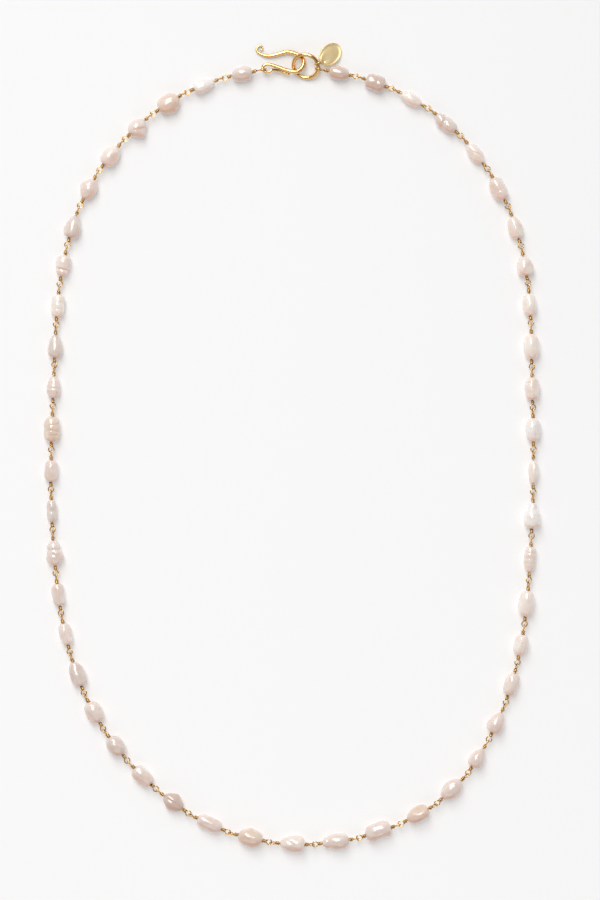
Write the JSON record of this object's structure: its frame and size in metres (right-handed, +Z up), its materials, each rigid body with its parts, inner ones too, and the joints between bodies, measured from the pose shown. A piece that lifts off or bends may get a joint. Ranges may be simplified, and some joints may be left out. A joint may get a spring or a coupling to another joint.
{
  "type": "pearl necklace",
  "caption": "Long necklace of irregular freshwater pearls on wrapped gold-wire links, closed by a hook through a ring, with a small blank oval tag.",
  "frame": {"origin": "on the resting plane, below the middle of the laid necklace's outline", "axes": "+Y from the lowest pearl to the clasp, +Z up from the resting plane, +X to the ring's side"},
  "size_m": [0.149, 0.2428, 0.0052],
  "materials": {
    "pearl": "nacre, soft satin lustre",
    "wire": "polished gold-plated wire",
    "clasp": "polished gold plate, hand-forged",
    "tag": "brushed gold plate"
  },
  "bodies": {
    "link_01": {"pearl_01": "pearl", "pearl_wire_01": "wire"},
    "link_02": {"pearl_02": "pearl", "pearl_wire_02": "wire"},
    "link_03": {"pearl_03": "pearl", "pearl_wire_03": "wire"},
    "link_04": {"pearl_link_04": "pearl"},
    "link_05": {"pearl_link_05": "pearl"},
    "link_06": {"pearl_link_06": "pearl"},
    "link_07": {"pearl_link_07": "pearl"},
    "link_08": {"pearl_link_08": "pearl"},
    "link_09": {"pearl_link_09": "pearl"},
    "link_10": {"pearl_link_10": "pearl"},
    "link_11": {"pearl_link_11": "pearl"},
    "link_12": {"pearl_link_12": "pearl"},
    "link_13": {"pearl_link_13": "pearl"},
    "link_14": {"pearl_link_14": "pearl"},
    "link_15": {"pearl_link_15": "pearl"},
    "link_16": {"pearl_link_16": "pearl"},
    "link_17": {"pearl_link_17": "pearl"},
    "link_18": {"pearl_link_18": "pearl"},
    "link_19": {"pearl_link_19": "pearl"},
    "link_20": {"pearl_link_20": "pearl"},
    "link_21": {"pearl_link_21": "pearl"},
    "link_22": {"pearl_link_22": "pearl"},
    "link_23": {"pearl_link_23": "pearl"},
    "link_24": {"pearl_link_24": "pearl"},
    "link_25": {"pearl_25": "pearl", "pearl_wire_25": "wire"},
    "link_26": {"pearl_link_26": "pearl"},
    "link_27": {"pearl_link_27": "pearl"},
    "link_28": {"pearl_link_28": "pearl"},
    "link_29": {"pearl_link_29": "pearl"},
    "link_30": {"pearl_link_30": "pearl"},
    "link_31": {"pearl_link_31": "pearl"},
    "link_32": {"pearl_link_32": "pearl"},
    "link_33": {"pearl_link_33": "pearl"},
    "link_34": {"pearl_link_34": "pearl"},
    "link_35": {"pearl_link_35": "pearl"},
    "link_36": {"pearl_link_36": "pearl"},
    "link_37": {"pearl_link_37": "pearl"},
    "link_38": {"pearl_link_38": "pearl"},
    "link_39": {"pearl_link_39": "pearl"},
    "link_40": {"pearl_link_40": "pearl"},
    "link_41": {"pearl_link_41": "pearl"},
    "link_42": {"pearl_link_42": "pearl"},
    "link_43": {"pearl_link_43": "pearl"},
    "link_44": {"pearl_link_44": "pearl"},
    "link_45": {"pearl_link_45": "pearl"},
    "link_46": {"pearl_link_46": "pearl"},
    "link_47": {"pearl_47": "pearl", "pearl_wire_47": "wire"},
    "link_48": {"pearl_48": "pearl", "pearl_wire_48": "wire"},
    "link_49": {"pearl_49": "pearl", "pearl_wire_49": "wire"},
    "hook": {"clasp_hook": "clasp"},
    "ring": {"clasp_ring": "clasp"},
    "tag_ring": {"tag_ring": "wire"},
    "tag": {"tag": "tag"}
  },
  "joints": [
    {"name": "fold_01", "type": "hinge", "parent": "link_25", "child": "link_24", "pos_m": [-0.00595, -0.11867, 0.00245], "axis": [0.9988, -0.0485, 0], "range_deg": [-40, 40]},
    {"name": "fold_01_right", "type": "hinge", "parent": "link_25", "child": "link_26", "pos_m": [0.00583, -0.11924, 0.00245], "axis": [0.9988, -0.0485, 0], "range_deg": [-40, 40]},
    {"name": "fold_02", "type": "hinge", "parent": "link_24", "child": "link_23", "pos_m": [-0.01842, -0.11581, 0.00245], "axis": [-0.999, 0.044, 0], "range_deg": [-40, 40]},
    {"name": "fold_02_right", "type": "hinge", "parent": "link_26", "child": "link_27", "pos_m": [0.01911, -0.11747, 0.00245], "axis": [-0.999, 0.044, 0], "range_deg": [-40, 40]},
    {"name": "fold_03", "type": "hinge", "parent": "link_23", "child": "link_22", "pos_m": [-0.03036, -0.11041, 0.00245], "axis": [-0.9988, 0.0481, 0], "range_deg": [-45, 45]},
    {"name": "fold_03_right", "type": "hinge", "parent": "link_27", "child": "link_28", "pos_m": [0.03166, -0.11339, 0.00245], "axis": [-0.9988, 0.0481, 0], "range_deg": [-45, 45]},
    {"name": "fold_04", "type": "hinge", "parent": "link_22", "child": "link_21", "pos_m": [-0.0402, -0.1032, 0.00245], "axis": [0.9987, -0.0516, 0], "range_deg": [-50, 50]},
    {"name": "fold_04_right", "type": "hinge", "parent": "link_28", "child": "link_29", "pos_m": [0.04268, -0.10748, 0.00245], "axis": [0.9987, -0.0516, 0], "range_deg": [-50, 50]},
    {"name": "fold_05", "type": "hinge", "parent": "link_21", "child": "link_20", "pos_m": [-0.04888, -0.09477, 0.00245], "axis": [0.9993, -0.0368, 0], "range_deg": [-55, 55]},
    {"name": "fold_05_right", "type": "hinge", "parent": "link_29", "child": "link_30", "pos_m": [0.0522, -0.09849, 0.00245], "axis": [0.9993, -0.0368, 0], "range_deg": [-55, 55]},
    {"name": "fold_06", "type": "hinge", "parent": "link_20", "child": "link_19", "pos_m": [-0.05624, -0.08529, 0.00245], "axis": [-0.9996, 0.0282, 0], "range_deg": [-65, 65]},
    {"name": "fold_06_right", "type": "hinge", "parent": "link_30", "child": "link_31", "pos_m": [0.05853, -0.08853, 0.00245], "axis": [-0.9996, 0.0282, 0], "range_deg": [-65, 65]},
    {"name": "fold_07", "type": "hinge", "parent": "link_19", "child": "link_18", "pos_m": [-0.06213, -0.07461, 0.00245], "axis": [-0.9997, 0.0229, 0], "range_deg": [-70, 70]},
    {"name": "fold_07_right", "type": "hinge", "parent": "link_31", "child": "link_32", "pos_m": [0.06372, -0.07748, 0.00245], "axis": [-0.9997, 0.0229, 0], "range_deg": [-70, 70]},
    {"name": "fold_08", "type": "hinge", "parent": "link_18", "child": "link_17", "pos_m": [-0.06652, -0.06237, 0.00245], "axis": [0.9997, -0.0242, 0], "range_deg": [-70, 70]},
    {"name": "fold_08_right", "type": "hinge", "parent": "link_32", "child": "link_33", "pos_m": [0.0673, -0.06562, 0.00245], "axis": [0.9997, -0.0242, 0], "range_deg": [-70, 70]},
    {"name": "fold_09", "type": "hinge", "parent": "link_17", "child": "link_16", "pos_m": [-0.06922, -0.05078, 0.00245], "axis": [0.9997, -0.0233, 0], "range_deg": [-70, 70]},
    {"name": "fold_09_right", "type": "hinge", "parent": "link_33", "child": "link_34", "pos_m": [0.0695, -0.05402, 0.00245], "axis": [0.9997, -0.0233, 0], "range_deg": [-70, 70]},
    {"name": "fold_10", "type": "hinge", "parent": "link_16", "child": "link_15", "pos_m": [-0.07085, -0.03879, 0.00245], "axis": [-0.9999, 0.0148, 0], "range_deg": [-70, 70]},
    {"name": "fold_10_right", "type": "hinge", "parent": "link_34", "child": "link_35", "pos_m": [0.07087, -0.04089, 0.00245], "axis": [-0.9999, 0.0148, 0], "range_deg": [-70, 70]},
    {"name": "fold_11", "type": "hinge", "parent": "link_15", "child": "link_14", "pos_m": [-0.07186, -0.02583, 0.00245], "axis": [-0.9999, 0.0124, 0], "range_deg": [-70, 70]},
    {"name": "fold_11_right", "type": "hinge", "parent": "link_35", "child": "link_36", "pos_m": [0.07167, -0.02762, 0.00245], "axis": [-0.9999, 0.0124, 0], "range_deg": [-70, 70]},
    {"name": "fold_12", "type": "hinge", "parent": "link_14", "child": "link_13", "pos_m": [-0.07236, -0.01364, 0.00245], "axis": [1, -0.0054, 0], "range_deg": [-70, 70]},
    {"name": "fold_12_right", "type": "hinge", "parent": "link_36", "child": "link_37", "pos_m": [0.0722, -0.01443, 0.00245], "axis": [1, -0.0054, 0], "range_deg": [-70, 70]},
    {"name": "fold_13", "type": "hinge", "parent": "link_13", "child": "link_12", "pos_m": [-0.07229, -0.00174, 0.00245], "axis": [1, 0.0008, 0], "range_deg": [-70, 70]},
    {"name": "fold_13_right", "type": "hinge", "parent": "link_37", "child": "link_38", "pos_m": [0.07231, -0.00163, 0.00245], "axis": [1, 0.0008, 0], "range_deg": [-70, 70]},
    {"name": "fold_14", "type": "hinge", "parent": "link_12", "child": "link_11", "pos_m": [-0.07185, 0.01135, 0.00245], "axis": [-1, 0.0033, 0], "range_deg": [-70, 70]},
    {"name": "fold_14_right", "type": "hinge", "parent": "link_38", "child": "link_39", "pos_m": [0.07212, 0.01087, 0.00245], "axis": [-1, 0.0033, 0], "range_deg": [-70, 70]},
    {"name": "fold_15", "type": "hinge", "parent": "link_11", "child": "link_10", "pos_m": [-0.07138, 0.02354, 0.00245], "axis": [-1, 0.0033, 0], "range_deg": [-70, 70]},
    {"name": "fold_15_right", "type": "hinge", "parent": "link_39", "child": "link_40", "pos_m": [0.07185, 0.02307, 0.00245], "axis": [-1, 0.0033, 0], "range_deg": [-70, 70]},
    {"name": "fold_16", "type": "hinge", "parent": "link_10", "child": "link_09", "pos_m": [-0.07091, 0.03583, 0.00245], "axis": [1, 0.0023, 0], "range_deg": [-70, 70]},
    {"name": "fold_16_right", "type": "hinge", "parent": "link_40", "child": "link_41", "pos_m": [0.07159, 0.03617, 0.00245], "axis": [1, 0.0023, 0], "range_deg": [-70, 70]},
    {"name": "fold_17", "type": "hinge", "parent": "link_09", "child": "link_08", "pos_m": [-0.0699, 0.04789, 0.00245], "axis": [1, 0.0025, 0], "range_deg": [-70, 70]},
    {"name": "fold_17_right", "type": "hinge", "parent": "link_41", "child": "link_42", "pos_m": [0.0708, 0.04824, 0.00245], "axis": [1, 0.0025, 0], "range_deg": [-70, 70]},
    {"name": "fold_18", "type": "hinge", "parent": "link_08", "child": "link_07", "pos_m": [-0.06771, 0.05969, 0.00245], "axis": [-1, 0.0024, 0], "range_deg": [-70, 70]},
    {"name": "fold_18_right", "type": "hinge", "parent": "link_42", "child": "link_43", "pos_m": [0.06883, 0.05937, 0.00245], "axis": [-1, 0.0024, 0], "range_deg": [-70, 70]},
    {"name": "fold_19", "type": "hinge", "parent": "link_07", "child": "link_06", "pos_m": [-0.06409, 0.07155, 0.00245], "axis": [-1, 0.0019, 0], "range_deg": [-65, 65]},
    {"name": "fold_19_right", "type": "hinge", "parent": "link_43", "child": "link_44", "pos_m": [0.06511, 0.0713, 0.00245], "axis": [-1, 0.0019, 0], "range_deg": [-65, 65]},
    {"name": "fold_20", "type": "hinge", "parent": "link_06", "child": "link_05", "pos_m": [-0.05842, 0.08224, 0.00245], "axis": [1, 0.003, 0], "range_deg": [-50, 50]},
    {"name": "fold_20_right", "type": "hinge", "parent": "link_44", "child": "link_45", "pos_m": [0.05908, 0.08259, 0.00245], "axis": [1, 0.003, 0], "range_deg": [-50, 50]},
    {"name": "fold_21", "type": "hinge", "parent": "link_05", "child": "link_04", "pos_m": [-0.05089, 0.09171, 0.00245], "axis": [1, 0.0086, 0], "range_deg": [-40, 40]},
    {"name": "fold_21_right", "type": "hinge", "parent": "link_45", "child": "link_46", "pos_m": [0.05125, 0.09259, 0.00245], "axis": [1, 0.0086, 0], "range_deg": [-40, 40]},
    {"name": "fold_22", "type": "hinge", "parent": "link_04", "child": "link_03", "pos_m": [-0.04259, 0.09938, 0.00245], "axis": [-0.9998, -0.019, 0], "range_deg": [-40, 40]},
    {"name": "fold_22_right", "type": "hinge", "parent": "link_46", "child": "link_47", "pos_m": [0.04158, 0.10098, 0.00245], "axis": [-0.9998, -0.019, 0], "range_deg": [-40, 40]},
    {"name": "fold_23", "type": "hinge", "parent": "link_03", "child": "link_02", "pos_m": [-0.03239, 0.10607, 0.00245], "axis": [-0.9999, -0.0164, 0], "range_deg": [-40, 40]},
    {"name": "fold_23_right", "type": "hinge", "parent": "link_47", "child": "link_48", "pos_m": [0.03068, 0.1071, 0.00245], "axis": [-0.9999, -0.0164, 0], "range_deg": [-40, 40]},
    {"name": "fold_24", "type": "hinge", "parent": "link_02", "child": "link_01", "pos_m": [-0.02125, 0.11054, 0.00245], "axis": [1, 0.0095, 0], "range_deg": [-40, 40]},
    {"name": "fold_24_right", "type": "hinge", "parent": "link_48", "child": "link_49", "pos_m": [0.02005, 0.11094, 0.00245], "axis": [1, 0.0095, 0], "range_deg": [-40, 40]},
    {"name": "clasp_roll", "type": "hinge", "parent": "link_01", "child": "hook", "pos_m": [-0.00887, 0.11312, 0.00245], "axis": [0.9999, 0.0107, 0], "range_deg": [-35, 15]},
    {"name": "clasp_roll_right", "type": "hinge", "parent": "link_49", "child": "ring", "pos_m": [0.00783, 0.1133, 0.00245], "axis": [0.9999, 0.0107, 0], "range_deg": [-35, 15]},
    {"name": "tag_ring_swing", "type": "hinge", "parent": "ring", "child": "tag_ring", "pos_m": [0.00761, 0.11485, 0.00295], "axis": [0.3026, -0.9531, 0], "range_deg": [-20, 45]},
    {"name": "tag_swing", "type": "hinge", "parent": "tag_ring", "child": "tag", "pos_m": [0.00798, 0.11499, 0.00295], "axis": [0.3026, -0.9531, 0], "range_deg": [-20, 35]}
  ],
  "couplings": [
    {"joint": "fold_01_right", "follows": "fold_01", "ratio": 1},
    {"joint": "fold_02_right", "follows": "fold_02", "ratio": 1},
    {"joint": "fold_03_right", "follows": "fold_03", "ratio": 1},
    {"joint": "fold_04_right", "follows": "fold_04", "ratio": 1},
    {"joint": "fold_05_right", "follows": "fold_05", "ratio": 1},
    {"joint": "fold_06_right", "follows": "fold_06", "ratio": 1},
    {"joint": "fold_07_right", "follows": "fold_07", "ratio": 1},
    {"joint": "fold_08_right", "follows": "fold_08", "ratio": 1},
    {"joint": "fold_09_right", "follows": "fold_09", "ratio": 1},
    {"joint": "fold_10_right", "follows": "fold_10", "ratio": 1},
    {"joint": "fold_11_right", "follows": "fold_11", "ratio": 1},
    {"joint": "fold_12_right", "follows": "fold_12", "ratio": 1},
    {"joint": "fold_13_right", "follows": "fold_13", "ratio": 1},
    {"joint": "fold_14_right", "follows": "fold_14", "ratio": 1},
    {"joint": "fold_15_right", "follows": "fold_15", "ratio": 1},
    {"joint": "fold_16_right", "follows": "fold_16", "ratio": 1},
    {"joint": "fold_17_right", "follows": "fold_17", "ratio": 1},
    {"joint": "fold_18_right", "follows": "fold_18", "ratio": 1},
    {"joint": "fold_19_right", "follows": "fold_19", "ratio": 1},
    {"joint": "fold_20_right", "follows": "fold_20", "ratio": 1},
    {"joint": "fold_21_right", "follows": "fold_21", "ratio": 1},
    {"joint": "fold_22_right", "follows": "fold_22", "ratio": 1},
    {"joint": "fold_23_right", "follows": "fold_23", "ratio": 1},
    {"joint": "fold_24_right", "follows": "fold_24", "ratio": 1},
    {"joint": "clasp_roll_right", "follows": "clasp_roll", "ratio": 1}
  ]
}
